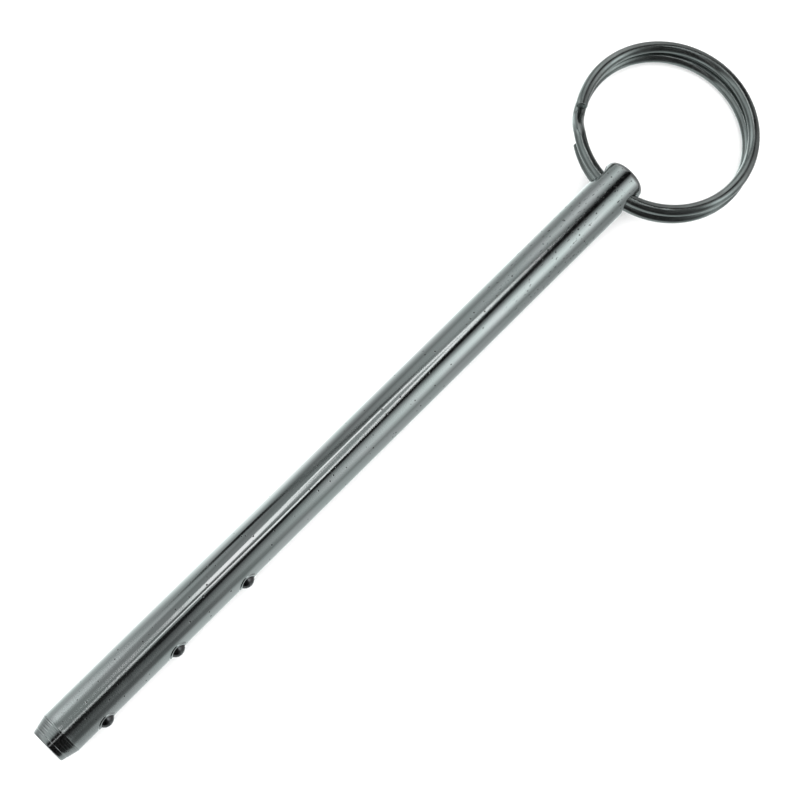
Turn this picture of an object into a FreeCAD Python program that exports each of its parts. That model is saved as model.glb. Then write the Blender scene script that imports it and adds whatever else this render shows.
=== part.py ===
"""Ball-detent hitch pin with a split ring.

A turned steel shank carries three spring-loaded balls in a row near its tapered tip and a
double-turn wire ring through a cross hole at its head.

Frame, millimetres: X runs along the shank, head towards +X and tip towards -X. The origin is
on the shank's axis, in the middle of the plain stretch between the balls and the ring. The pin
lies on its side, Z is up, the ring's cross hole runs along Y, and the balls look out of the -Y
side, a little upwards.
"""
import FreeCAD, Part
import math
import os

Vector = FreeCAD.Vector

# ---- Shank -------------------------------------------------------------------------------
shank_r = 12.7 / 2            # half-inch pin
shank_length = 222.9          # about 8 3/4 in over all
tip_to_origin = 140.9         # the origin is this far from the tip's flat end
tip_x = -tip_to_origin
head_x = shank_length - tip_to_origin
grip_length = 140.0           # the straight middle, which the parts it pins together ride on
end_relief = 0.03             # the shank narrows by this much from the grip to either end
taper_length = 4.95           # lead-in cone at the tip
taper_angle = 14.0            # degrees, half angle of that cone
tip_break = 0.6               # rounding between the cone and the flat end
head_round = 1.8              # rounding of the head's rim

# ---- Cross hole for the ring --------------------------------------------------------------
cross_hole_r = 7.5 / 2
cross_hole_from_head = 5.72
cross_hole_x = head_x - cross_hole_from_head
cross_hole_break = 0.1        # rounding of the hole's two mouths

# ---- Spring detents -----------------------------------------------------------------------
detent_count = 3
detent_pitch = 25.4           # 1 in
first_detent_from_tip = 15.275
detent_clock = 4.0            # degrees that the row of balls is turned up from the -Y side
ball_r = 5.16 / 2             # 13/64 in ball
ball_stands_out = 1.21        # how far a ball stands out of the shank
ball_out = shank_r + ball_stands_out - ball_r   # ball centre, from the shank's axis
ball_clearance = 0.05         # radial clearance between the ball and its pocket
pocket_r = ball_r + ball_clearance
pocket_floor = -3.2           # floor of the bore's straight wall, past the shank's axis
drill_point = 118.0           # degrees, included angle of the drilled floor
lip_r = 2.85                  # outside radius of the lip that is staked over the ball
lip_height = 0.08             # how far the lip stands proud of the shank
stake_r = 3.3                 # outside radius of the groove that the staking tool leaves
stake_depth = 0.1

# ---- Detent springs -----------------------------------------------------------------------
spring_wire_r = 0.3
spring_coil_r = 2.1           # centre line of the wire
spring_turns = 5
spring_gap = 0.04             # clearance from the ball and from the pocket's floor

# ---- Split ring ---------------------------------------------------------------------------
wire_r = 3.43 / 2             # 10 gauge steel wire
ring_r = 25.25                # centre line of the wire, the mean of the two turns
spread_mean = 0.23            # how far the upper turn stands outside the mean, on average ...
spread_cos, spread_sin = 0.44, 0.20      # ... and how that changes once round the ring ...
spread_cos_2, spread_sin_2 = 0.12, -0.06  # ... and twice round it, in mm
end_tuck = 0.2                # how far the upper turn's cut end comes back in ...
end_tuck_start = 60.0         # ... from this angle on
turn_gap = 0.06               # air between the two turns where they lie on each other
turn_rise = 2 * wire_r + turn_gap
ring_start = 117.0            # angle of the upper turn's cut end, 0 at the far side of the ring
ring_end = -580.0             # angle of the lower turn's cut end
cross_over_start = -221.0     # the wire steps down from the upper to the lower turn ...
cross_over_end = -242.0       # ... between these two angles
ring_end_break = 0.25         # chamfer of the wire's two cut ends
ring_yaw = 3.9                # degrees that the ring stands askew in its hole, towards +Y
ring_droop = 3.67             # degrees that the ring hangs down to rest on the ground

x_axis = Vector(1, 0, 0)
y_axis = Vector(0, 1, 0)
z_axis = Vector(0, 0, 1)
origin = Vector(0, 0, 0)
box_slack = 0.02              # how far an edge's bounding box may miss its exact size


def detent_positions():
    """X of each ball, the one nearest to the tip first."""
    return [tip_x + first_detent_from_tip + i * detent_pitch for i in range(detent_count)]


def clocked(shape):
    """Turn a detent feature, drawn looking out along -Y, up to the row's real direction."""
    turned = shape.copy()
    turned.rotate(origin, x_axis, -detent_clock)
    return turned


def shank_cylinder(radius):
    """A cylinder on the shank's axis that covers the whole row of balls."""
    return Part.makeCylinder(radius, shank_length, Vector(tip_x, 0, 0), x_axis)


def rounded(solid, radius, chosen):
    """Round the edges of a solid that the function chosen picks."""
    return solid.makeFillet(radius, [edge for edge in solid.Edges if chosen(edge)])


def rim_at(x):
    """Pick the round edges that lie in the plane at x."""
    def chosen(edge):
        box = edge.BoundBox
        return abs(box.XMin - x) < box_slack and abs(box.XMax - x) < box_slack
    return chosen


def turned_blank():
    """The shank before drilling: a straight grip, relieved ends, a tapered tip, a rounded head."""
    end_r = shank_r - end_relief
    tip_r = end_r - taper_length * math.tan(math.radians(taper_angle))
    outline = [(tip_x, 0), (tip_x, tip_r), (tip_x + taper_length, end_r),
               (-grip_length / 2, shank_r), (grip_length / 2, shank_r),
               (head_x, end_r), (head_x, 0), (tip_x, 0)]
    corners = [Vector(x, 0, -radius) for x, radius in outline]
    blank = Part.Face(Part.makePolygon(corners)).revolve(origin, x_axis, 360)
    blank = rounded(blank, tip_break, rim_at(tip_x))
    return rounded(blank, head_round, rim_at(head_x))


def drill_cross_hole(shank):
    """Cut the ring's hole through the head and break its two mouths."""
    start = Vector(cross_hole_x, -2 * shank_r, 0)
    drilled = shank.cut(Part.makeCylinder(cross_hole_r, 4 * shank_r, start, y_axis))

    def mouth(edge):
        box = edge.BoundBox
        centred = abs(box.Center.x - cross_hole_x) < box_slack and abs(box.Center.z) < box_slack
        return centred and abs(box.XLength - 2 * cross_hole_r) < box_slack
    return rounded(drilled, cross_hole_break, mouth)


def along_detent(x, near, far, radius):
    """A cylinder on a detent's own axis, between two distances from the shank's axis."""
    return Part.makeCylinder(radius, far - near, Vector(x, -near, 0), -y_axis)


def pocket(x):
    """A ball's bore: a drilled hole whose mouth closes over the ball like a spherical lip."""
    wall = along_detent(x, pocket_floor, ball_out, pocket_r)
    point_depth = pocket_r / math.tan(math.radians(drill_point / 2))
    floor = Part.makeCone(pocket_r, 0, point_depth, Vector(x, -pocket_floor, 0), y_axis)
    mouth = Part.makeSphere(pocket_r, Vector(x, -ball_out, 0))
    return wall.fuse([floor, mouth])


def stake_detent(shank, x):
    """Raise the lip, press the groove round it and open the pocket."""
    near, far = ball_out - ball_r, ball_out + 2 * ball_r
    lip = along_detent(x, near, far, lip_r).common(shank_cylinder(shank_r + lip_height))
    collar = along_detent(x, near, far, stake_r).cut(along_detent(x, near, far, lip_r))
    groove = collar.cut(shank_cylinder(shank_r - stake_depth))
    staked = shank.fuse(clocked(lip)).cut(clocked(groove))
    return staked.cut(clocked(pocket(x)))


def make_shank():
    shank = drill_cross_hole(turned_blank())
    for x in detent_positions():
        shank = stake_detent(shank, x)
    return shank


def make_ball(x):
    return clocked(Part.makeSphere(ball_r, Vector(x, -ball_out, 0)))


def make_spring(x):
    """The compression spring between the pocket's floor and the back of the ball."""
    bottom = pocket_floor + spring_wire_r + spring_gap
    reach = ball_r + spring_wire_r + spring_gap
    top = ball_out - math.sqrt(reach ** 2 - spring_coil_r ** 2)
    height = top - bottom
    helix = Part.makeHelix(height / spring_turns, height, spring_coil_r)
    section = Part.Wire(Part.makeCircle(spring_wire_r, Vector(spring_coil_r, 0, 0), y_axis))
    spring = Part.Wire(helix.Edges).makePipeShell([section], True, True)
    spring.rotate(origin, x_axis, 90)
    spring.translate(Vector(x, -bottom, 0))
    return clocked(Part.Solid(spring))


def turn_spread(turn):
    """How far the upper turn lies outside the mean circle, and the lower one inside it."""
    return (spread_mean + spread_cos * math.cos(turn) + spread_sin * math.sin(turn)
            + spread_cos_2 * math.cos(2 * turn) + spread_sin_2 * math.sin(2 * turn))


def eased(share):
    """0 to 1 with a soft start and finish."""
    share = min(1.0, max(0.0, share))
    return share * share * (3 - 2 * share)


def ring_point(angle):
    """A point on the ring's wire, in the ring's own frame.

    The ring's plane is XY and the angle runs round the ring's centre, with 180 degrees inside
    the cross hole. The two turns lie close there and are sprung a little apart elsewhere.
    """
    turn = math.radians(angle)
    down = eased((cross_over_start - angle) / (cross_over_start - cross_over_end))
    tuck = end_tuck * eased((angle - end_tuck_start) / (ring_start - end_tuck_start))
    radius = ring_r + turn_spread(turn) * (1 - 2 * down) - tuck
    z = turn_rise * (0.5 - down)
    return Vector(ring_r + radius * math.cos(turn), radius * math.sin(turn), z)


def ring_tangent(angle, step=0.01):
    """The wire's direction at an angle; the wire runs towards falling angles."""
    return (ring_point(angle - step) - ring_point(angle + step)).normalize()


def tangent_arc(start, corner, end):
    """The arc from start to end whose tangents meet at the corner."""
    middle = (start + end) * 0.5
    half = (end - start).Length / 2
    bow = corner - middle
    sagitta = half * math.tan(math.atan2(bow.Length, half) / 2)
    return Part.Arc(start, middle + bow.normalize() * sagitta, end).toShape()


def two_arcs(start, start_dir, end, end_dir):
    """Two arcs that join two points smoothly along the given directions."""
    span = end - start
    both = start_dir + end_dir
    bend = 2 * (1 - start_dir.dot(end_dir))
    reach = span.dot(both)
    leg = (math.sqrt(reach ** 2 + bend * span.dot(span)) - reach) / bend
    first, second = start + start_dir * leg, end - end_dir * leg
    joint = (first + second) * 0.5
    return [tangent_arc(start, first, joint), tangent_arc(joint, second, end)]


def ring_stations():
    """Angles where the wire's arcs begin: long spans on the turns, short ones between them."""
    def spread(first, last, count):
        return [first + (last - first) * i / count for i in range(count)]
    upper = spread(ring_start, cross_over_start, 6)
    crossing = spread(cross_over_start, cross_over_end, 6)
    lower = spread(cross_over_end, ring_end, 6)
    return upper + crossing + lower + [ring_end]


def make_ring():
    """One length of wire, wound nearly twice round and stepping from turn to turn once."""
    edges = []
    stations = ring_stations()
    for first, last in zip(stations, stations[1:]):
        start, end = ring_point(first), ring_point(last)
        edges += two_arcs(start, ring_tangent(first), end, ring_tangent(last))
    path = Part.Wire(edges)
    cut_end = Part.makeCircle(wire_r, ring_point(ring_start), ring_tangent(ring_start))
    wire = Part.Solid(path.makePipeShell([Part.Wire(cut_end)], True, True))
    ends = [face for face in wire.Faces if isinstance(face.Surface, Part.Plane)]
    wire = wire.makeChamfer(ring_end_break, [edge for face in ends for edge in face.Edges])

    # The wire bows and slants inside the straight hole: centre it on the hole's axis.
    wire.rotate(origin, z_axis, ring_yaw)
    inside = wire.common(Part.makeBox(ring_r, 2 * shank_r, ring_r,
                                      Vector(-ring_r / 2, -shank_r, -ring_r / 2)))
    box = inside.optimalBoundingBox(False)
    wire.translate(Vector(-(box.XMin + box.XMax) / 2, 0, 0))
    wire.rotate(origin, y_axis, ring_droop)
    wire.translate(Vector(cross_hole_x, 0, 0))
    print("ring wire", round(path.Length, 2), "mm long, volume",
          round(wire.Volume / (math.pi * wire_r ** 2 * path.Length), 4), "of section times length")
    return wire


def make_nodes():
    nodes = {"shank": make_shank(), "split_ring": make_ring()}
    for number, x in enumerate(detent_positions(), start=1):
        nodes["detent_ball_%d" % number] = make_ball(x)
        nodes["detent_spring_%d" % number] = make_spring(x)
    return nodes


def main():
    os.makedirs("parts", exist_ok=True)
    for name, shape in sorted(make_nodes().items()):
        shape.exportStep("parts/%s.step" % name)
        box = shape.BoundBox
        print(name, "valid", shape.isValid(), "solids", len(shape.Solids), "volume",
              round(shape.Volume, 2), "x", round(box.XMin, 3), round(box.XMax, 3), "y",
              round(box.YMin, 3), round(box.YMax, 3), "z", round(box.ZMin, 3), round(box.ZMax, 3))


main()
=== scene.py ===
"""Looks of the ball-detent hitch pin: a zinc-plated shank, three staked detent balls with their
springs, and a double-turn wire ring, on a pale floor in even light with a room to mirror.

Shapes are worked out in millimetres in the part's own frame and written to meshes in metres.
"""
import math
import random

import bmesh
import bpy
from mathutils import Matrix, Quaternion, Vector, noise


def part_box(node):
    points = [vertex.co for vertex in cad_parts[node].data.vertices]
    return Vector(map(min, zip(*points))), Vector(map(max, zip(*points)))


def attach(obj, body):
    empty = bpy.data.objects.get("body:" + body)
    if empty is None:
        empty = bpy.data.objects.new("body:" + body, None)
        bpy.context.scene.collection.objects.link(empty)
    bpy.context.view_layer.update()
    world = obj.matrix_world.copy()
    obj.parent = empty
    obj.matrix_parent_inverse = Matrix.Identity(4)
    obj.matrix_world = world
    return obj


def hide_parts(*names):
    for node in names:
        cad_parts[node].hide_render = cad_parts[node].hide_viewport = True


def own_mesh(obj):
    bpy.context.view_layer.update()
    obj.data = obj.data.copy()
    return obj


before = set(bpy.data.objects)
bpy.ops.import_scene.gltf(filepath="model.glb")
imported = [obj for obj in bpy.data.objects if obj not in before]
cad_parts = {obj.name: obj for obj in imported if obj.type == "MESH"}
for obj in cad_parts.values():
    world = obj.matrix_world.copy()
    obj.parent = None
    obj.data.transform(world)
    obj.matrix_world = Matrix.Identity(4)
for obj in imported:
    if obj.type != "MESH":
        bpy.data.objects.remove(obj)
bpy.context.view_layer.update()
MM = 0.001

# ---- Sizes of the part, in millimetres ----------------------------------------------------
shank_lo, shank_hi = (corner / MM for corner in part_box("shank"))
TIP_X, HEAD_X = shank_lo.x, shank_hi.x
SHANK_R = shank_hi.y
GRIP_HALF = 70.0
END_RELIEF = 0.03
TAPER_LENGTH = 4.95
TAPER_ANGLE = math.radians(14)
TIP_BREAK = 0.6
HEAD_ROUND = 1.8
SHOULDER_X = TIP_X + TAPER_LENGTH

HOLE_R = 3.75
HOLE_X = HEAD_X - 5.72
HOLE_BREAK = 0.1

BALL_R = 2.58
BALL_OUT = 4.98
POCKET_R = 2.63
POCKET_FLOOR = -3.2
POCKET_POINT = math.tan(math.radians(90 - 118 / 2))
LIP_HEIGHT = 0.08
STAKE_DEPTH = 0.1
DETENT_CLOCK = math.radians(4)
DETENT_X = [TIP_X + 15.275 + 25.4 * i for i in range(3)]
DETENT_OUT = Vector((0, -math.cos(DETENT_CLOCK), math.sin(DETENT_CLOCK)))

SPRING_WIRE_R, SPRING_COIL_R = 0.3, 2.1
SPRING_GAP = 0.04

WIRE_R = 3.43 / 2
RING_R = 25.25
TURN_RISE = 2 * WIRE_R + 0.06
RING_START, RING_END = 117.0, -580.0
CROSS_START, CROSS_END = -221.0, -242.0
END_TUCK, END_TUCK_START = 0.2, 60.0
RING_YAW = math.radians(3.9)
RING_DROOP = math.radians(3.67)
RING_FAR_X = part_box("split_ring")[1].x / MM

FLOOR_Z = min(-SHANK_R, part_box("split_ring")[0].z / MM)


# ---- Camera -------------------------------------------------------------------------------
def make_camera():
    """A 90 mm lens, looking steeply down along the shank from beyond its tip."""
    data = bpy.data.cameras.new("camera")
    data.lens = 90
    data.sensor_width = 36
    data.clip_start, data.clip_end = 0.01, 20
    camera = bpy.data.objects.new("camera", data)
    bpy.context.scene.collection.objects.link(camera)
    camera.rotation_mode = "QUATERNION"
    azimuth, elevation, roll = map(math.radians, (-64.455, 74.603, 19.108))
    back = Vector((math.sin(azimuth) * math.cos(elevation),
                   -math.cos(azimuth) * math.cos(elevation), math.sin(elevation)))
    camera.location = Vector((-10.59, 0, 0)) * MM + back * 0.5425
    camera.rotation_quaternion = (-back).to_track_quat("-Z", "Y") @ Quaternion((0, 0, 1), roll)
    bpy.context.scene.camera = camera


# ---- Mesh helpers -------------------------------------------------------------------------
class Builder:
    """Collects vertices, given in millimetres, and quads, and turns them into a smooth piece."""

    def __init__(self):
        self.mesh = bmesh.new()

    def vert(self, point):
        return self.mesh.verts.new(Vector(point) * MM)

    def face(self, verts):
        self.mesh.faces.new(verts)

    def loop(self, points):
        return [self.vert(point) for point in points]

    def bridge(self, first, second):
        """Quads between two closed loops of the same length."""
        count = len(first)
        for i in range(count):
            j = (i + 1) % count
            self.face((first[i], first[j], second[j], second[i]))

    def cap(self, ring, centre):
        """Close a loop with a fan round one point."""
        middle = self.vert(centre)
        for i in range(len(ring)):
            self.face((ring[i], ring[(i + 1) % len(ring)], middle))

    def finish(self, name, body, sharp=35.0, origin=None):
        bmesh.ops.recalc_face_normals(self.mesh, faces=self.mesh.faces)
        if origin is not None:
            bmesh.ops.translate(self.mesh, vec=-Vector(origin) * MM, verts=self.mesh.verts)
        data = bpy.data.meshes.new(name)
        self.mesh.to_mesh(data)
        self.mesh.free()
        data.shade_smooth()
        data.set_sharp_from_angle(angle=math.radians(sharp))
        piece = bpy.data.objects.new(name, data)
        bpy.context.scene.collection.objects.link(piece)
        if origin is not None:
            piece.location = Vector(origin) * MM
        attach(piece, body)
        return piece


def spaced(first, last, count):
    """Evenly spaced values from first up to, but not including, last."""
    return [first + (last - first) * i / count for i in range(count)]


def smooth_step(value):
    value = min(1.0, max(0.0, value))
    return value * value * (3 - 2 * value)


# ---- Shank --------------------------------------------------------------------------------
COLUMNS = 180
COLUMN_STEP = 2 * math.pi / COLUMNS


def column_angle(column):
    """Angle of a column of the shank's grid: 0 at -Y, growing downwards; column 0 is the detents'."""
    return column * COLUMN_STEP - DETENT_CLOCK


def on_shank(x, angle, radius):
    return (x, -radius * math.cos(angle), -radius * math.sin(angle))


def relieved_radius(x):
    """Radius of the bar, which narrows very slightly from the grip to either end."""
    if x < -GRIP_HALF:
        return SHANK_R - END_RELIEF * (-GRIP_HALF - x) / (-GRIP_HALF - SHOULDER_X)
    if x > GRIP_HALF:
        return SHANK_R - END_RELIEF * (x - GRIP_HALF) / (HEAD_X - GRIP_HALF)
    return SHANK_R


def tool_mark(x, at, width, depth):
    """A narrow turned groove round the taper."""
    return -depth * max(0.0, 1 - ((x - at) / width) ** 2)


def taper_radius(x):
    """Radius of the turned taper, with the feed marks and grooves of the cutting tool."""
    radius = SHANK_R - END_RELIEF - (SHOULDER_X - x) * math.tan(TAPER_ANGLE)
    feed = 0.003 * math.sin((x - TIP_X) * 2 * math.pi / 0.62)
    marks = (tool_mark(x, TIP_X + 1.65, 0.2, 0.06) + tool_mark(x, TIP_X + 2.9, 0.2, 0.015)
             + tool_mark(x, TIP_X + 3.7, 0.2, 0.015) + tool_mark(x, SHOULDER_X - 0.25, 0.2, 0.04))
    return radius + feed + marks


def tip_rounding():
    """Stations (x, radius) round the break between the flat end and the taper."""
    turn = math.pi / 2 - TAPER_ANGLE
    reach = TIP_BREAK * math.tan(turn / 2)
    corner_r = SHANK_R - END_RELIEF - TAPER_LENGTH * math.tan(TAPER_ANGLE)
    centre = (TIP_X + TIP_BREAK, corner_r - reach)
    stations = []
    for i in range(7):
        angle = math.pi - turn * i / 6
        stations.append((centre[0] + TIP_BREAK * math.cos(angle),
                         centre[1] + TIP_BREAK * math.sin(angle)))
    return stations


def head_rounding():
    """Stations (x, radius) round the head's rim, from the bar to the flat end."""
    stations = []
    edge = relieved_radius(HEAD_X)
    for i in range(1, 13):
        angle = math.pi / 2 * (1 - i / 12)
        stations.append((HEAD_X - HEAD_ROUND * (1 - math.cos(angle)),
                         edge - HEAD_ROUND * (1 - math.sin(angle))))
    return stations


class Block:
    """A patch of the shank's grid that an opening takes the place of."""

    def __init__(self, x, half_length, rows, column, half_columns):
        self.x, self.half_length, self.rows = x, half_length, rows
        self.column, self.half_columns = column, half_columns
        self.angle = column_angle(column)

    def starts(self):
        return self.x - self.half_length

    def ends(self):
        return self.x + self.half_length

    def holds(self, x, column):
        """True for a grid cell inside the patch, given its middle."""
        off = (column - self.column + COLUMNS / 2) % COLUMNS - COLUMNS / 2
        return abs(x - self.x) < self.half_length and abs(off) < self.half_columns

    def point(self, along, across, height):
        """A point by its distances along and across the opening's axis, and out along it."""
        out = Vector((0, -math.cos(self.angle), -math.sin(self.angle)))
        side = Vector((0, math.sin(self.angle), -math.cos(self.angle)))
        return Vector((self.x + along, 0, 0)) + out * height + side * across

    def skin(self, along, across, offset=0.0):
        """A point on the shank's surface, or offset from it."""
        radius = relieved_radius(self.x + along) + offset
        return self.point(along, across, math.sqrt(radius ** 2 - across ** 2))

    def polar(self, distance, angle, offset=0.0):
        return self.skin(distance * math.cos(angle), distance * math.sin(angle), offset)


DETENT_BLOCKS = [Block(x, 4.0, 36, 0, 18) for x in DETENT_X]
HOLE_BLOCKS = [Block(HOLE_X, 3.9, 36, 2, 22), Block(HOLE_X, 3.9, 36, 92, 22)]


def shank_stations():
    """Every (x, radius) that the shank's grid has a row of vertices at, from tip to head."""
    stations = tip_rounding()
    first = stations[-1][0]
    stations += [(x, taper_radius(x)) for x in spaced(first + 0.08, SHOULDER_X - 0.12, 56)]
    stations += [(SHOULDER_X - 0.1, relieved_radius(SHOULDER_X) - 0.028),
                 (SHOULDER_X, relieved_radius(SHOULDER_X) - 0.004),
                 (SHOULDER_X + 0.08, relieved_radius(SHOULDER_X) + 0.02),
                 (SHOULDER_X + 0.25, relieved_radius(SHOULDER_X) + 0.012)]
    rows = []
    at = SHOULDER_X + 0.5
    for block in DETENT_BLOCKS + HOLE_BLOCKS[:1]:
        rows += spaced(at, block.starts(), round((block.starts() - at) / 1.2))
        rows += spaced(block.starts(), block.ends(), block.rows)
        at = block.ends()
    rows += [at, HEAD_X - HEAD_ROUND]
    return stations + [(x, relieved_radius(x)) for x in rows] + head_rounding()


def dents():
    """Shallow knocks on the bar: place along it, angle round it, size and depth."""
    draw = random.Random(11)
    found = []
    for _ in range(34):
        found.append((draw.uniform(SHOULDER_X + 2, HEAD_X - 3), draw.uniform(-math.pi, math.pi),
                      draw.uniform(1.2, 2.6), draw.uniform(0.004, 0.016)))
    return found


DENTS = dents()


def wear(x, angle):
    """How far the real bar's surface lies off the perfect one: slight waves and knocks."""
    spot = Vector((x * 0.045, math.cos(angle) * 1.3, math.sin(angle) * 1.3))
    depth = 0.006 * noise.noise(spot) - 0.003
    for at, turn, size, deep in DENTS:
        if abs(x - at) < size:
            across = (angle - turn + math.pi) % (2 * math.pi) - math.pi
            away = math.hypot(x - at, across * SHANK_R) / size
            if away < 1:
                depth -= deep * (1 - away * away) ** 2
    return depth


def block_loop(rows, columns):
    """Grid places round the patch's edge, in order."""
    first, last = rows
    left, right = columns
    loop = [(i, left) for i in range(first, last)]
    loop += [(last, k) for k in range(left, right)]
    loop += [(i, right) for i in range(last, first, -1)]
    loop += [(first, k) for k in range(right, left, -1)]
    return loop


def edge_polar(block, stations, place):
    """Distance along and across the opening's axis of a place on the patch's edge."""
    row, column = place
    turn = (column - block.column) * COLUMN_STEP
    return stations[row][0] - block.x, stations[row][1] * math.sin(turn)


def patch_rings(build, block, stations, edge, ring_r, count, lift):
    """Rings that change from the patch's rectangle to a circle; returns the angles and the circle."""
    flat = [edge_polar(block, stations, place) for place, _ in edge]
    angles = [math.atan2(across, along) for along, across in flat]
    previous = [vert for _, vert in edge]
    for step in range(1, count + 1):
        share = step / count
        ring = []
        for (along, across), angle in zip(flat, angles):
            u = along + (ring_r * math.cos(angle) - along) * share
            w = across + (ring_r * math.sin(angle) - across) * share
            ring.append(block.skin(u, w, lift * (1 - share)))
        ring = build.loop(ring)
        build.bridge(previous, ring)
        previous = ring
    return angles, previous


def mouth_distance(block, angle):
    """Where the pocket's round lip cuts the top of the staked collar, from the detent's axis."""
    low, high = 1.5, POCKET_R
    for _ in range(30):
        middle = (low + high) / 2
        across = middle * math.sin(angle)
        radius = relieved_radius(block.x) + LIP_HEIGHT
        height = math.sqrt(radius ** 2 - across ** 2) - BALL_OUT
        low, high = (middle, high) if middle ** 2 + height ** 2 < POCKET_R ** 2 else (low, middle)
    return (low + high) / 2


def detent_opening(build, block, stations, edge, seed):
    """The groove, the staked lip that holds the ball, and the blind bore behind it."""
    angles, previous = patch_rings(build, block, stations, edge, 3.58, 5, -0.003)
    shift = seed * 1.7
    profile = ((3.44, 0.003), (3.36, 0.008), (3.31, 0.0), (3.27, -0.035), (3.2, -0.085),
               (3.1, -STAKE_DEPTH), (2.98, -0.095), (2.92, -0.06), (2.88, 0.012), (2.84, 0.055),
               (2.78, 0.073), (2.68, LIP_HEIGHT))
    for distance, offset in profile:
        ring = []
        for angle in angles:
            uneven = 1 + 0.12 * math.sin(3 * angle + shift) + 0.06 * math.sin(7 * angle - shift)
            ring.append(block.polar(distance + 0.012 * math.sin(5 * angle + shift), angle,
                                    offset * uneven if offset < LIP_HEIGHT else offset))
        ring = build.loop(ring)
        build.bridge(previous, ring)
        previous = ring
    mouths = [mouth_distance(block, angle) for angle in angles]
    tops = []
    for mouth, angle in zip(mouths, angles):
        tops.append(block.polar(mouth, angle, LIP_HEIGHT))
    heights = [(top - Vector((block.x, 0, 0))).dot(DETENT_OUT) for top in tops]
    for back, drop in ((0.07, 0.0), (0.02, 0.01)):
        ring = build.loop([block.polar(mouth + back, angle, LIP_HEIGHT - drop)
                           for mouth, angle in zip(mouths, angles)])
        build.bridge(previous, ring)
        previous = ring
    for share in (0.06, 0.2, 0.45, 0.7, 1.0):
        ring = []
        for height, angle in zip(heights, angles):
            level = height + (BALL_OUT - height) * share
            distance = math.sqrt(POCKET_R ** 2 - (level - BALL_OUT) ** 2)
            ring.append(block.point(distance * math.cos(angle), distance * math.sin(angle), level))
        ring = build.loop(ring)
        build.bridge(previous, ring)
        previous = ring
    bore = [(POCKET_R, level) for level in (3.4, 1.2, -1.0, POCKET_FLOOR)]
    bore += [(distance, POCKET_FLOOR - (POCKET_R - distance) * POCKET_POINT)
             for distance in (1.9, 1.1, 0.4)]
    for distance, level in bore:
        ring = build.loop([block.point(distance * math.cos(a), distance * math.sin(a), level)
                           for a in angles])
        build.bridge(previous, ring)
        previous = ring
    build.cap(previous, block.point(0, 0, POCKET_FLOOR - POCKET_R * POCKET_POINT))


def hole_mouth(build, block, stations, edge):
    """The rounded mouth of the cross hole; returns its innermost ring by place in the hole."""
    outer = HOLE_R + HOLE_BREAK
    angles, previous = patch_rings(build, block, stations, edge, outer, 4, -0.003)
    for i in range(1, 7):
        turn = math.pi / 2 * i / 6
        distance = outer - HOLE_BREAK * math.sin(turn)
        drop = HOLE_BREAK * (1 - math.cos(turn))
        ring = build.loop([block.polar(distance, angle, -drop) for angle in angles])
        build.bridge(previous, ring)
        previous = ring
    side = 1 if math.cos(block.angle) > 0 else -1
    return {round((angle * side) % (2 * math.pi) * 1e4): vert
            for angle, vert in zip(angles, previous)}


def hole_wall(build, mouths):
    """Join the cross hole's two mouths with a straight wall."""
    near, far = mouths
    keys = sorted(near)
    first = [near[key] for key in keys]
    last = []
    for key in keys:
        match = min(far, key=lambda other: min(abs(other - key), 62832 - abs(other - key)))
        last.append(far[match])
    previous = first
    for share in (0.12, 0.35, 0.65, 0.88):
        ring = []
        for a, b in zip(first, last):
            ring.append(build.mesh.verts.new(a.co.lerp(b.co, share)))
        build.bridge(previous, ring)
        previous = ring
    build.bridge(previous, last)


def end_face(build, rim, x, radius, into):
    """A faced end: shallow rings left by the cutting tool, closed at the middle."""
    previous = rim
    steps = 22
    for i in range(1, steps):
        distance = radius * (1 - i / steps)
        level = x + into * (0.006 + 0.005 * math.sin(i * 2.4))
        ring = build.loop([on_shank(level, column_angle(k), distance) for k in range(COLUMNS)])
        build.bridge(previous, ring)
        previous = ring
    build.cap(previous, (x + into * 0.03, 0, 0))


def make_shank():
    build = Builder()
    stations = shank_stations()
    blocks = DETENT_BLOCKS + HOLE_BLOCKS
    last = len(stations) - 1
    grid = {}

    def at(row, column):
        column %= COLUMNS
        if (row, column) not in grid:
            x, radius = stations[row]
            angle = column_angle(column)
            fade = smooth_step((x - SHOULDER_X - 0.3) / 3) * smooth_step((HEAD_X - 2 - x) / 3)
            grid[row, column] = build.vert(on_shank(x, angle, radius + wear(x, angle) * fade))
        return grid[row, column]

    for row in range(last):
        middle = (stations[row][0] + stations[row + 1][0]) / 2
        for column in range(COLUMNS):
            if not any(block.holds(middle, column + 0.5) for block in blocks):
                build.face((at(row, column), at(row + 1, column),
                            at(row + 1, column + 1), at(row, column + 1)))
    mouths = []
    xs = [x for x, _ in stations]
    for number, block in enumerate(blocks):
        rows = [min(range(len(xs)), key=lambda i: abs(xs[i] - x))
                for x in (block.starts(), block.ends())]
        columns = (block.column - block.half_columns, block.column + block.half_columns)
        places = block_loop(rows, columns)
        edge = [(place, at(*place)) for place in places]
        if block in HOLE_BLOCKS:
            mouths.append(hole_mouth(build, block, stations, edge))
        else:
            detent_opening(build, block, stations, edge, number)
    hole_wall(build, mouths)
    end_face(build, [at(0, k) for k in range(COLUMNS)], *stations[0], 1)
    end_face(build, [at(last, k) for k in range(COLUMNS)], *stations[-1], -1)
    shank = build.finish("shank_steel_bar", "pin_shank")
    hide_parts("shank")
    return shank


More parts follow.
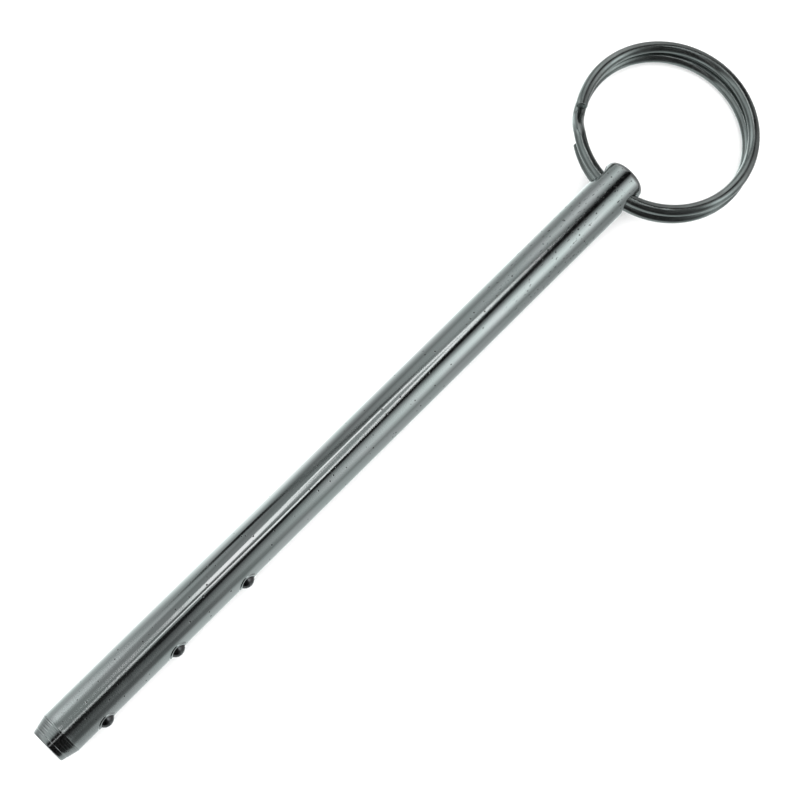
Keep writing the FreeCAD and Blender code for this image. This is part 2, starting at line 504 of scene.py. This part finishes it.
# ---- Detent balls and springs -------------------------------------------------------------
def make_ball(number):
    """A hardened ball: a fine sphere with the faint flats and scuffs of use."""
    centre = Vector((DETENT_X[number - 1], 0, 0)) + DETENT_OUT * BALL_OUT
    build = Builder()
    bmesh.ops.create_icosphere(build.mesh, subdivisions=6, radius=BALL_R * MM)
    draw = random.Random(40 + number)
    scuffs = []
    for _ in range(26):
        direction = Vector((draw.gauss(0, 1), draw.gauss(0, 1), draw.gauss(0, 1))).normalized()
        scuffs.append((direction, draw.uniform(0.06, 0.16), draw.uniform(0.003, 0.010)))
    for vert in build.mesh.verts:
        outward = vert.co.normalized()
        depth = 0.0
        for direction, size, deep in scuffs:
            away = (outward - direction).length / size
            if away < 1:
                depth += deep * (1 - away * away) ** 2
        vert.co = outward * (BALL_R - depth) * MM
        vert.co += centre * MM
    ball = build.finish("detent_ball_%d_steel" % number, "ball_%d" % number,
                        origin=centre)
    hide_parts("detent_ball_%d" % number)
    return ball


def make_spring(number):
    """A compression spring with closed ends, from the bore's floor to the back of the ball."""
    x = DETENT_X[number - 1]
    bottom = POCKET_FLOOR + SPRING_WIRE_R + SPRING_GAP
    reach = BALL_R + SPRING_WIRE_R + SPRING_GAP
    top = BALL_OUT - math.sqrt(reach ** 2 - SPRING_COIL_R ** 2)
    build = Builder()
    turns, per_turn, sides = 6.5, 40, 14
    count = round(turns * per_turn)
    side_dir = Vector((0, math.sin(DETENT_CLOCK), math.cos(DETENT_CLOCK)))
    closed = 2 * SPRING_WIRE_R * 1.02

    def height(turn):
        """The end turns lie close together and the ones between are evenly open."""
        active = turns - 2
        rise = (top - bottom - 2 * closed) / active
        if turn < 1:
            return bottom + closed * smooth_step(turn) * 0.98 + 0.02 * closed * turn
        if turn > turns - 1:
            return top - closed * (1 - smooth_step(turn - turns + 1))
        return bottom + closed + rise * (turn - 1)

    def middle(turn):
        angle = 2 * math.pi * turn
        return (Vector((x, 0, 0)) + DETENT_OUT * height(turn)
                + Vector((1, 0, 0)) * SPRING_COIL_R * math.cos(angle)
                + side_dir * SPRING_COIL_R * math.sin(angle))

    previous = None
    for i in range(count + 1):
        turn = turns * i / count
        angle = 2 * math.pi * turn
        radial = Vector((1, 0, 0)) * math.cos(angle) + side_dir * math.sin(angle)
        tangent = (middle(turn + 0.001) - middle(turn - 0.001)).normalized()
        across = tangent.cross(radial).normalized()
        radial = across.cross(tangent)
        ring = build.loop([middle(turn) + (radial * math.cos(a) + across * math.sin(a))
                           * SPRING_WIRE_R for a in spaced(0, 2 * math.pi, sides)])
        if previous:
            build.bridge(previous, ring)
        else:
            build.cap(ring, middle(0))
        previous = ring
    build.cap(previous, middle(turns))
    spring = build.finish("detent_spring_%d_wire" % number, "pin_shank")
    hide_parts("detent_spring_%d" % number)
    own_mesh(spring)
    return spring


# ---- Split ring ---------------------------------------------------------------------------
def turn_spread(turn):
    """How far the upper turn lies outside the mean circle, and the lower one inside it."""
    return (0.23 + 0.44 * math.cos(turn) + 0.20 * math.sin(turn)
            + 0.12 * math.cos(2 * turn) - 0.06 * math.sin(2 * turn))


def ring_point(angle):
    """A point on the wire's centre line, in the ring's own plane; 180 degrees is in the hole."""
    turn = math.radians(angle)
    down = smooth_step((CROSS_START - angle) / (CROSS_START - CROSS_END))
    tuck = END_TUCK * smooth_step((angle - END_TUCK_START) / (RING_START - END_TUCK_START))
    radius = RING_R + turn_spread(turn) * (1 - 2 * down) - tuck
    return Vector((RING_R + radius * math.cos(turn), radius * math.sin(turn),
                   TURN_RISE * (0.5 - down)))


def make_ring():
    build = Builder()
    sides, step = 32, 1.25
    count = round((RING_START - RING_END) / step)
    droop = Matrix.Rotation(RING_DROOP, 4, "Y")
    place = Matrix.Translation((HOLE_X, 0, 0)) @ droop @ Matrix.Rotation(RING_YAW, 4, "Z")
    reach = max((place @ ring_point(angle)).x for angle in spaced(RING_START, RING_END, count))
    shift = (RING_FAR_X - WIRE_R - reach) / math.cos(RING_DROOP)
    place = Matrix.Translation(droop @ Vector((shift, 0, 0))) @ place
    along = build.mesh.verts.layers.float_vector.new("along_wire")
    travelled = 0.0

    def section(angle, scale, shift, distance, skew=0.0):
        """One loop of vertices round the wire, a little wavy as drawn wire is."""
        centre = ring_point(angle)
        tangent = (ring_point(angle - 0.01) - ring_point(angle + 0.01)).normalized()
        outward = centre - Vector((RING_R, 0, centre.z))
        outward = (outward - tangent * outward.dot(tangent)).normalized()
        up = outward.cross(tangent)
        ring = []
        for turn in spaced(0, 2 * math.pi, sides):
            side = outward * math.cos(turn) + up * math.sin(turn)
            ripple = 0.006 * noise.noise(Vector((distance * 0.12, math.cos(turn) * 2,
                                                 math.sin(turn) * 2))) - 0.004
            radius = WIRE_R * scale + ripple
            offset = tangent * (shift + skew * math.sin(turn + 0.6))
            point = place @ (centre + side * radius + offset)
            vert = build.vert(point)
            vert[along] = Vector((distance, side.dot(outward) * WIRE_R, math.sin(turn) * WIRE_R))
            ring.append(vert)
        return ring

    def cut_end(angle, outward_sign, distance, first):
        """Loops of a sheared wire end: a chamfer, then a face that is a little out of square."""
        loops = []
        for scale, shift, skew in ((1.0, 0.27, 0.0), (0.985, 0.2, 0.0), (0.93, 0.1, 0.01),
                                   (0.87, 0.035, 0.02), (0.835, 0.01, 0.03), (0.8, 0.012, 0.035),
                                   (0.55, 0.05, 0.03), (0.28, 0.03, 0.02)):
            loops.append(section(angle, scale, shift * outward_sign, distance, skew))
        centre = place @ ring_point(angle)
        if first:
            loops.reverse()
        return loops, centre

    start_loops, start_centre = cut_end(RING_START, 1, 0.0, True)
    build.cap(start_loops[0], start_centre)
    loops = start_loops
    previous_point = ring_point(RING_START)
    for i in range(1, count):
        angle = RING_START + (RING_END - RING_START) * i / count
        travelled += (ring_point(angle) - previous_point).length
        previous_point = ring_point(angle)
        loops.append(section(angle, 1.0, 0.0, travelled))
    end_loops, end_centre = cut_end(RING_END, -1, travelled, False)
    loops += end_loops
    for first, second in zip(loops, loops[1:]):
        build.bridge(first, second)
    build.cap(loops[-1], end_centre)
    ring = build.finish("split_ring_wire", "ring")
    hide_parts("split_ring")
    return ring


# ---- Node graphs --------------------------------------------------------------------------
class Graph:
    """Short ways to add and join shader nodes."""

    def __init__(self, tree):
        self.tree = tree
        tree.nodes.clear()

    def node(self, kind, inputs=None, **settings):
        made = self.tree.nodes.new(kind)
        for key, value in settings.items():
            setattr(made, key, value)
        for key, value in (inputs or {}).items():
            self.feed(made.inputs[key], value)
        return made

    def feed(self, socket, value):
        if isinstance(value, bpy.types.NodeSocket):
            self.tree.links.new(value, socket)
        else:
            socket.default_value = value

    def math(self, operation, *values):
        return self.node("ShaderNodeMath", dict(enumerate(values)), operation=operation).outputs[0]

    def remap(self, value, low, high, to_low=0.0, to_high=1.0):
        names = ("Value", "From Min", "From Max", "To Min", "To Max")
        return self.node("ShaderNodeMapRange",
                         dict(zip(names, (value, low, high, to_low, to_high)))).outputs[0]

    def mix(self, share, first, second, blend="MIX"):
        """Mix two colours."""
        made = self.node("ShaderNodeMix", data_type="RGBA", blend_type=blend)
        for socket, value in zip((0, 6, 7), (share, first, second)):
            self.feed(made.inputs[socket], value)
        return made.outputs[2]

    def scaled(self, vector, scale):
        return self.node("ShaderNodeVectorMath", {0: vector, 1: scale},
                         operation="MULTIPLY").outputs[0]

    def noise(self, vector, scale, detail=2.0, rough=0.5, warp=0.0):
        return self.node("ShaderNodeTexNoise",
                         {"Vector": vector, "Scale": scale, "Detail": detail,
                          "Roughness": rough, "Distortion": warp}).outputs[0]

    def spots(self, vector, scale):
        """Distance to the nearest of some scattered points."""
        return self.node("ShaderNodeTexVoronoi",
                         {"Vector": vector, "Scale": scale}).outputs["Distance"]

    def ramp(self, value, stops):
        made = self.node("ShaderNodeValToRGB", {0: value})
        elements = made.color_ramp.elements
        while len(elements) < len(stops):
            elements.new(0.5)
        for element, (position, colour) in zip(elements, stops):
            element.position = position
            element.color = colour if len(colour) == 4 else (*colour, 1.0)
        return made.outputs[0]

    def bump(self, height, strength, distance, normal=None):
        inputs = {"Height": height, "Strength": strength, "Distance": distance}
        if normal is not None:
            inputs["Normal"] = normal
        return self.node("ShaderNodeBump", inputs).outputs[0]

    def surface(self, colour, roughness, normal, metallic=1.0):
        shader = self.node("ShaderNodeBsdfPrincipled",
                           {"Base Color": colour, "Roughness": roughness, "Metallic": metallic})
        if normal is not None:
            self.feed(shader.inputs["Normal"], normal)
        output = self.node("ShaderNodeOutputMaterial")
        self.tree.links.new(shader.outputs[0], output.inputs[0])


def material(name):
    made = bpy.data.materials.new(name)
    made.use_nodes = True
    return made, Graph(made.node_tree)


def wear_metal(piece, made):
    piece.data.materials.clear()
    piece.data.materials.append(made)


def zinc_plate():
    """Bright zinc plate on drawn bar: grain, drawn lines, pits and a faint passivate tint."""
    made, g = material("zinc_plated_steel")
    place = g.scaled(g.node("ShaderNodeTexCoord").outputs["Object"], (1000, 1000, 1000))
    x = g.node("ShaderNodeSeparateXYZ", {0: place}).outputs[0]
    along = g.remap(x, TIP_X, HEAD_X)
    lengthwise = g.scaled(place, (0.04, 1, 1))
    grain = g.noise(place, 3.0, 3, 0.65)
    lines = g.noise(lengthwise, 3.4, 3, 0.6)
    broad = g.noise(g.scaled(place, (0.3, 1, 1)), 0.25, 3, 0.55)
    tint = g.mix(g.remap(broad, 0.35, 0.65), (0.495, 0.53, 0.525, 1), (0.525, 0.535, 0.54, 1))

    # the plate is matt and gritty at both ends and polished in between
    gritty = g.ramp(along, ((0.0, (1, 1, 1)), (0.13, (1, 1, 1)), (0.18, (.3, .3, .3)),
                            (0.38, (.22, .22, .22)), (0.46, (.45, .45, .45)),
                            (0.66, (.35, .35, .35)), (0.76, (.6, .6, .6)), (1.0, (.7, .7, .7))))
    smudge = g.remap(g.noise(g.scaled(place, (0.5, 1, 1)), 1.1, 5, 0.65), 0.6, 0.75, 0.0, 0.4)
    colour = g.mix(g.math("MULTIPLY", smudge, gritty), tint, (0.26, 0.26, 0.26, 1))
    speck = g.remap(g.noise(g.scaled(place, (0.5, 1, 1)), 1.9, 2, 0.5), 0.66, 0.71)
    near_head = g.remap(x, HEAD_X - 62, HEAD_X - 40)
    colour = g.mix(g.math("MULTIPLY", speck, near_head), colour, (0.12, 0.12, 0.12, 1))
    pits = g.remap(g.spots(place, 0.42), 0.05, 0.12)
    colour = g.mix(g.math("SUBTRACT", 1.0, pits), colour, (0.14, 0.13, 0.13, 1))
    rough = g.math("MULTIPLY_ADD", gritty, g.remap(grain, 0.3, 0.7, 0.02, 0.07), 0.04)
    height = g.math("MULTIPLY", g.math("MULTIPLY", grain, gritty), 0.45)
    height = g.math("MULTIPLY_ADD", lines, 0.12, height)
    normal = g.bump(height, 0.14, 0.0002)
    normal = g.bump(pits, 0.3, 0.00005, normal)
    g.surface(colour, rough, normal)
    return made


def ring_steel():
    """Darker drawn spring wire, with die lines along it and a little tarnish."""
    made, g = material("drawn_ring_wire")
    place = g.node("ShaderNodeAttribute", attribute_name="along_wire").outputs["Vector"]
    lines = g.noise(g.scaled(place, (0.05, 1, 1)), 3.5, 3, 0.6)
    patches = g.noise(g.scaled(place, (0.4, 1, 1)), 0.5, 4, 0.6)
    colour = g.mix(g.remap(patches, 0.35, 0.7), (0.37, 0.405, 0.40, 1), (0.28, 0.295, 0.29, 1))
    rough = g.remap(lines, 0.3, 0.7, 0.12, 0.24)
    g.surface(colour, rough, g.bump(lines, 0.12, 0.0002))
    return made


def ball_steel():
    """Dark polished bearing steel with fine scratches and a few dull scuffs."""
    made, g = material("hardened_ball_steel")
    place = g.scaled(g.node("ShaderNodeTexCoord").outputs["Object"], (1000, 1000, 1000))
    scuff = g.noise(place, 1.6, 5, 0.65)
    colour = g.mix(g.remap(scuff, 0.45, 0.75), (0.15, 0.15, 0.155, 1), (0.10, 0.10, 0.10, 1))
    rough = g.remap(scuff, 0.4, 0.75, 0.06, 0.22)
    g.surface(colour, rough, g.bump(g.noise(place, 9, 3, 0.6), 0.06, 0.0001))
    return made


def spring_steel():
    made, g = material("spring_wire_steel")
    place = g.scaled(g.node("ShaderNodeTexCoord").outputs["Object"], (1000, 1000, 1000))
    grain = g.noise(place, 5, 4, 0.6)
    colour = g.mix(g.remap(grain, 0.35, 0.65), (0.34, 0.33, 0.32, 1), (0.22, 0.21, 0.20, 1))
    g.surface(colour, g.remap(grain, 0.3, 0.7, 0.22, 0.4), g.bump(grain, 0.1, 0.0001))
    return made


# ---- Floor and light ----------------------------------------------------------------------
def make_floor():
    build = bmesh.new()
    bmesh.ops.create_circle(build, cap_ends=True, segments=96, radius=3.0,
                            matrix=Matrix.Translation((0, 0, FLOOR_Z * MM)))
    data = bpy.data.meshes.new("floor")
    build.to_mesh(data)
    build.free()
    floor = bpy.data.objects.new("floor", data)
    bpy.context.scene.collection.objects.link(floor)
    made, g = material("pale_floor")
    place = g.node("ShaderNodeTexCoord").outputs["Object"]
    colour = g.mix(g.noise(place, 40, 3), (0.90, 0.90, 0.90, 1), (0.93, 0.93, 0.93, 1))
    g.surface(colour, 0.9, None, metallic=0.0)
    data.materials.append(made)
    floor.visible_glossy = False


def grey(level, tint=(1, 1, 1)):
    return tuple(level * channel for channel in tint)


COOL, PLAIN = (0.95, 1.02, 1.01), (1.0, 1.0, 1.0)

# The room that the metal mirrors is made of long soft panels and dark gaps that run along the
# shank. Angles are in degrees round the shank, from straight above towards -Y, and a place is
# the X of the mirrored direction, low beyond the tip and high beyond the head. Only mirror rays
# see this room, and its levels were tuned for the bands that show from the main camera.
LANES = (
    (-0.6, COOL, ((-150, .5), (-120, .3), (-95, .2), (-75, .3), (-58, .5), (-40, .6),
                  (-24, .55), (-10, .25), (-4, .0), (30, .0), (104, .0), (112, .3), (126, .5),
                  (150, .6))),
    (-0.42, COOL, ((-150, .5), (-120, .3), (-95, .25), (-75, .35), (-58, .5), (-40, .5),
                   (-24, .45), (-10, .2), (-4, .0), (30, .0), (104, .0), (112, .3), (126, .5),
                   (150, .6))),
    (-0.02, COOL, ((-150, 1.2), (-115, .5), (-92, .6), (-76, 1.05), (-58, 1.15), (-46, .65),
                   (-36, .32), (-20, .27), (0, .27), (9, .2), (14, .05), (38, .03), (54, .06),
                   (80, .1), (92, .13), (104, .28), (125, .36), (150, .5))),
    (0.077, COOL, ((-150, 1.4), (-112, .72), (-90, .4), (-74, .44), (-58, .6), (-47, .28),
                   (-30, .3), (-12, .36), (4, .34), (13, .34), (20, .06), (32, .06),
                   (46, .14), (62, .22), (72, .12), (88, .18), (104, .6), (125, .7),
                   (150, .75))),
    (0.153, COOL, ((-150, 1.9), (-112, 1.25), (-94, .6), (-76, .24), (-62, .24), (-47, .24),
                   (-32, .33), (-10, .38), (8, .4), (16, .4), (26, .1), (36, .24), (50, .46),
                   (62, .5), (75, .36), (88, .3), (104, .58), (125, .64), (150, .7))),
    (0.22, COOL, ((-150, 1.9), (-112, .85), (-90, .38), (-76, .2), (-60, .34), (-46, .3),
                  (-32, .28), (-14, .4), (2, .42), (12, .28), (22, .13), (34, .44), (46, .74),
                  (60, .86), (75, .6), (88, .34), (104, .5), (125, .56), (150, .65))),
    (0.296, COOL, ((-150, 1.9), (-112, .8), (-90, .44), (-76, .32), (-60, .48), (-40, .5),
                   (-24, .34), (-10, .36), (2, .26), (10, .08), (20, .18), (30, .55), (42, 1.2),
                   (55, 1.35), (66, 1.05), (76, .62), (88, .36), (104, .46), (125, .48),
                   (150, .6))),
    (0.367, COOL, ((-150, 1.6), (-112, .55), (-90, .36), (-76, .36), (-60, .62), (-46, .88),
                    (-36, .72), (-24, .36), (-15, .12), (-6, .02), (3, .03), (14, .15), (24, .55),
                    (38, 1.0), (55, 1.25), (68, .85), (80, .45), (92, .3), (106, .36), (125, .36),
                    (150, .6))),
    (0.6, PLAIN, ((-150, .8), (-90, .5), (-60, .7), (-30, .6), (-10, .2), (10, .12), (40, .5),
                  (70, .6), (100, .3), (150, .5))),
    (0.9, PLAIN, ((-150, .5), (-60, .3), (0, .12), (60, .2), (150, .4))),
)

# Sharp-edged strips over those panels: a brightness, how soft the edge is in degrees, and along
# the strip its place, angle, half width and strength.
STRIPS = (
    # the dark line between the upper and the lower light
    (0.0, 2, ((-0.05, 24, 10, 1), (0.06, 26, 10, .8), (0.12, 24, 6, .9), (0.2, 19, 5.5, 1),
              (0.245, 14, 6, 1), (0.27, 11, 6.5, 1), (0.3, 9, 7.5, 1), (0.33, 3, 10.5, 1),
              (0.36, -4, 12, 1), (0.4, -1, 12, 1))),
    # the wide bright strip
    (1.5, 3, ((0.07, -14, 6, 0), (0.11, -14, 7.5, 1), (0.15, -15, 8.5, 1),
              (0.175, -17, 7, .8), (0.195, -20, 4, 0))),
    # its two thin edges, which run on past it and meet
    (1.7, 2, ((0.16, -25, 3, 0), (0.18, -24, 3, 1), (0.23, -24, 3, 1), (0.25, -21, 3, 1),
              (0.275, -16, 3.5, 1), (0.3, -11, 5, 1), (0.315, -11, 4, .6), (0.33, -12, 3, 0))),
    (1.7, 2, ((0.0, 11, 2, .3), (0.03, 11, 2, .7), (0.06, 7, 2, .8), (0.1, 5, 2.4, .9),
              (0.15, 12, 2.6, .9), (0.2, 10, 2.8, 1), (0.22, 5, 2.8, 1), (0.245, 0, 3, 1),
              (0.275, -4, 3.5, 1), (0.3, -10, 5, 1), (0.315, -10, 4, .6), (0.33, -11, 3, 0))),
    # thin dark lines beside the bright strip
    (0.05, 2, ((0.06, -2, 3, 0), (0.08, -2, 3, .8), (0.13, 2, 3.5, .8), (0.16, 4, 3, .6),
               (0.2, 1, 3, 0))),
    (0.0, 3, ((0.08, -77, 3, 0), (0.12, -76, 7, .9), (0.15, -74, 7, 1), (0.17, -66, 5, .6),
              (0.19, -51, 5, .9), (0.2, -46, 5, 1), (0.22, -38, 4.5, .9), (0.245, -34, 4.5, .8),
              (0.26, -33, 3, 0))),
)


def make_world():
    """Even light on the floor, and for the metal the room of panels and strips."""
    world = bpy.data.worlds.new("soft_studio")
    world.use_nodes = True
    bpy.context.scene.world = world
    g = Graph(world.node_tree)
    direction = g.node("ShaderNodeTexCoord").outputs["Generated"]
    x, y, z = g.node("ShaderNodeSeparateXYZ", {0: direction}).outputs
    round_axis = g.math("ARCTAN2", g.math("MULTIPLY", y, -1.0), z)
    turn = g.remap(round_axis, -math.pi, math.pi)
    colour, reached = None, None
    for at, tint, bands in LANES:
        first, last = bands[0], bands[-1]
        beyond = (first[1] + last[1]) / 2
        stops = [(0.0, grey(beyond, tint))]
        stops += [(0.5 + angle / 360, grey(level, tint)) for angle, level in bands]
        stops += [(1.0, grey(beyond, tint))]
        panels = g.ramp(turn, stops)
        if colour is None:
            colour = panels
        else:
            colour = g.mix(g.remap(x, reached, at), colour, panels)
        reached = at
    low, high = -0.05, 0.45
    along = g.remap(x, low, high)
    for level, soft, path in STRIPS:
        stops = [((at - low) / (high - low), (0.5 + angle / 360, half / 36, strength))
                 for at, angle, half, strength in path]
        centre, half, strength = g.node("ShaderNodeSeparateColor",
                                        {0: g.ramp(along, stops)}).outputs
        away = g.math("MULTIPLY", g.math("ABSOLUTE", g.math("SUBTRACT", turn, centre)), 10.0)
        edge = soft / 36
        inside = g.remap(g.math("SUBTRACT", away, half), edge / 2, -edge / 2)
        colour = g.mix(g.math("MULTIPLY", inside, strength), colour, grey(level, (1, 1, 1, 1)))
    room = g.node("ShaderNodeBackground", {"Color": colour, "Strength": 1.0})
    even = g.node("ShaderNodeBackground", {"Color": (1.0, 1.0, 1.0, 1.0), "Strength": 2.0})
    mirrored = g.node("ShaderNodeLightPath").outputs["Is Glossy Ray"]
    both = g.node("ShaderNodeMixShader", {0: mirrored})
    g.tree.links.new(even.outputs[0], both.inputs[1])
    g.tree.links.new(room.outputs[0], both.inputs[2])
    output = g.node("ShaderNodeOutputWorld")
    g.tree.links.new(both.outputs[0], output.inputs[0])


# ---- Put it together ----------------------------------------------------------------------
make_camera()
wear_metal(make_shank(), zinc_plate())
balls, springs = ball_steel(), spring_steel()
for number in (1, 2, 3):
    wear_metal(make_ball(number), balls)
    wear_metal(make_spring(number), springs)
wear_metal(make_ring(), ring_steel())
make_floor()
make_world()
bpy.context.scene.view_settings.view_transform = "Standard"
